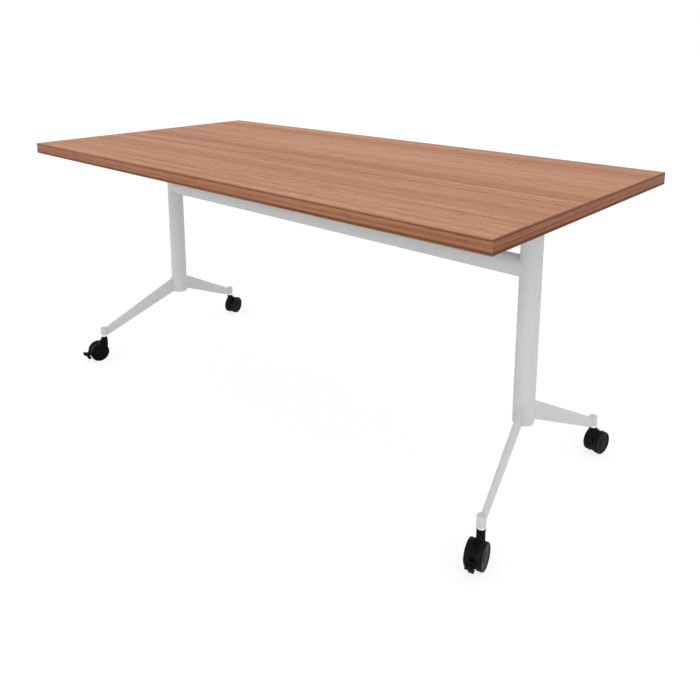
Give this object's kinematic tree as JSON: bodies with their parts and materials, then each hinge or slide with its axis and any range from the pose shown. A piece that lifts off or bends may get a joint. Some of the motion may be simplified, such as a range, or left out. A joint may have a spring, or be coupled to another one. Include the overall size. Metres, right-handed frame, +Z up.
{
  "type": "multipurpose table",
  "caption": "Rectangular table with a wood-pattern top that tilts on a light steel frame of round columns, a cross beam and splayed arms, rolling on twin-wheel casters with brakes at the front.",
  "frame": {"origin": "on the floor under the middle of the top", "axes": "+X along the top's length, +Y towards the rear (the casters without brakes), +Z up"},
  "size_m": [1.6, 0.8, 0.725],
  "materials": {
    "wood_top": "wood-pattern melamine, satin",
    "wood_edge": "wood-pattern edge strip, satin",
    "white_paint": "light grey powder coat, satin",
    "white_plastic": "light grey moulded plastic, matte",
    "black_plastic": "black moulded nylon, satin",
    "black_tread": "black moulded nylon, matte",
    "zinc_steel": "zinc plated",
    "fibre": "friction fibre, matte",
    "rubber": "moulded rubber, matte"
  },
  "bodies": {
    "frame": {"cross_beam": "white_paint", "beam_set_screws": "zinc_steel", "stem_sleeves": "white_plastic", "stop_buffers": "rubber", "column_left": "white_paint", "column_plug_left": "white_plastic", "column_head_left": "white_paint", "beam_spigot_left": "zinc_steel", "column_right": "white_paint", "column_plug_right": "white_plastic", "column_head_right": "white_paint", "beam_spigot_right": "zinc_steel", "arm_front_left": "white_paint", "caster_socket_front_left": "white_paint", "caster_stem_front_left": "zinc_steel", "arm_front_right": "white_paint", "caster_socket_front_right": "white_paint", "caster_stem_front_right": "zinc_steel", "arm_rear_left": "white_paint", "caster_socket_rear_left": "white_paint", "caster_stem_rear_left": "zinc_steel", "arm_rear_right": "white_paint", "caster_socket_rear_right": "white_paint", "caster_stem_rear_right": "zinc_steel"},
    "top": {"top_board": "wood_top", "edge_strip_front": "wood_edge", "edge_strip_rear": "wood_edge", "edge_strip_left": "wood_edge", "edge_strip_right": "wood_edge", "bracket_screws": "zinc_steel", "friction_washers": "fibre", "lever_spacers": "zinc_steel", "pivot_nuts": "zinc_steel", "tilt_bracket_left": "white_paint", "pivot_bolt_left": "zinc_steel", "tilt_bracket_right": "white_paint", "pivot_bolt_right": "zinc_steel"},
    "lever_left": {"clamp_lever_left": "black_plastic"},
    "lever_right": {"clamp_lever_right": "black_plastic"},
    "caster_front_left": {"caster_housing_front_left": "black_plastic", "caster_axle_front_left": "zinc_steel", "pedal_pin_front_left": "zinc_steel"},
    "wheel_a_body_front_left": {"wheel_a_front_left": "black_tread"},
    "wheel_b_body_front_left": {"wheel_b_front_left": "black_tread"},
    "pedal_front_left": {"brake_pedal_front_left": "black_plastic"},
    "caster_front_right": {"caster_housing_front_right": "black_plastic", "caster_axle_front_right": "zinc_steel", "pedal_pin_front_right": "zinc_steel"},
    "wheel_a_body_front_right": {"wheel_a_front_right": "black_tread"},
    "wheel_b_body_front_right": {"wheel_b_front_right": "black_tread"},
    "pedal_front_right": {"brake_pedal_front_right": "black_plastic"},
    "caster_rear_left": {"caster_housing_rear_left": "black_plastic", "caster_axle_rear_left": "zinc_steel"},
    "wheel_a_body_rear_left": {"wheel_a_rear_left": "black_tread"},
    "wheel_b_body_rear_left": {"wheel_b_rear_left": "black_tread"},
    "caster_rear_right": {"caster_housing_rear_right": "black_plastic", "caster_axle_rear_right": "zinc_steel"},
    "wheel_a_body_rear_right": {"wheel_a_rear_right": "black_tread"},
    "wheel_b_body_rear_right": {"wheel_b_rear_right": "black_tread"}
  },
  "joints": [
    {"name": "top_tilt", "type": "hinge", "parent": "frame", "child": "top", "pos_m": [0, 0, 0.661], "axis": [-1, 0, 0], "range_deg": [0, 90]},
    {"name": "clamp_lever_turn_left", "type": "hinge", "parent": "top", "child": "lever_left", "pos_m": [-0.63, 0, 0.661], "axis": [1, 0, 0], "range_deg": [0, 60]},
    {"name": "clamp_lever_turn_right", "type": "hinge", "parent": "top", "child": "lever_right", "pos_m": [0.63, 0, 0.661], "axis": [1, 0, 0], "range_deg": [0, 60]},
    {"name": "swivel_front_left", "type": "hinge", "parent": "frame", "child": "caster_front_left", "pos_m": [-0.721, -0.265, 0.075], "axis": [0, 0, 1], "continuous": true},
    {"name": "wheel_a_spin_front_left", "type": "hinge", "parent": "caster_front_left", "child": "wheel_a_body_front_left", "pos_m": [-0.72582, -0.28493, 0.029], "axis": [0.972, -0.2351, 0], "continuous": true},
    {"name": "wheel_b_spin_front_left", "type": "hinge", "parent": "caster_front_left", "child": "wheel_b_body_front_left", "pos_m": [-0.72582, -0.28493, 0.029], "axis": [0.972, -0.2351, 0], "continuous": true},
    {"name": "brake_front_left", "type": "hinge", "parent": "caster_front_left", "child": "pedal_front_left", "pos_m": [-0.73029, -0.30339, 0.0275], "axis": [0.972, -0.2351, 0], "range_deg": [0, 12]},
    {"name": "swivel_front_right", "type": "hinge", "parent": "frame", "child": "caster_front_right", "pos_m": [0.721, -0.265, 0.075], "axis": [0, 0, 1], "continuous": true},
    {"name": "wheel_a_spin_front_right", "type": "hinge", "parent": "caster_front_right", "child": "wheel_a_body_front_right", "pos_m": [0.72558, -0.28498, 0.029], "axis": [0.9748, 0.2233, 0], "continuous": true},
    {"name": "wheel_b_spin_front_right", "type": "hinge", "parent": "caster_front_right", "child": "wheel_b_body_front_right", "pos_m": [0.72558, -0.28498, 0.029], "axis": [0.9748, 0.2233, 0], "continuous": true},
    {"name": "brake_front_right", "type": "hinge", "parent": "caster_front_right", "child": "pedal_front_right", "pos_m": [0.72982, -0.3035, 0.0275], "axis": [0.9748, 0.2233, 0], "range_deg": [0, 12]},
    {"name": "swivel_rear_left", "type": "hinge", "parent": "frame", "child": "caster_rear_left", "pos_m": [-0.721, 0.265, 0.075], "axis": [0, 0, 1], "continuous": true},
    {"name": "wheel_a_spin_rear_left", "type": "hinge", "parent": "caster_rear_left", "child": "wheel_a_body_rear_left", "pos_m": [-0.72682, 0.28466, 0.029], "axis": [-0.9588, -0.284, 0], "continuous": true},
    {"name": "wheel_b_spin_rear_left", "type": "hinge", "parent": "caster_rear_left", "child": "wheel_b_body_rear_left", "pos_m": [-0.72682, 0.28466, 0.029], "axis": [-0.9588, -0.284, 0], "continuous": true},
    {"name": "swivel_rear_right", "type": "hinge", "parent": "frame", "child": "caster_rear_right", "pos_m": [0.721, 0.265, 0.075], "axis": [0, 0, 1], "continuous": true},
    {"name": "wheel_a_spin_rear_right", "type": "hinge", "parent": "caster_rear_right", "child": "wheel_a_body_rear_right", "pos_m": [0.72431, 0.28523, 0.029], "axis": [-0.9869, 0.1616, 0], "continuous": true},
    {"name": "wheel_b_spin_rear_right", "type": "hinge", "parent": "caster_rear_right", "child": "wheel_b_body_rear_right", "pos_m": [0.72431, 0.28523, 0.029], "axis": [-0.9869, 0.1616, 0], "continuous": true}
  ]
}
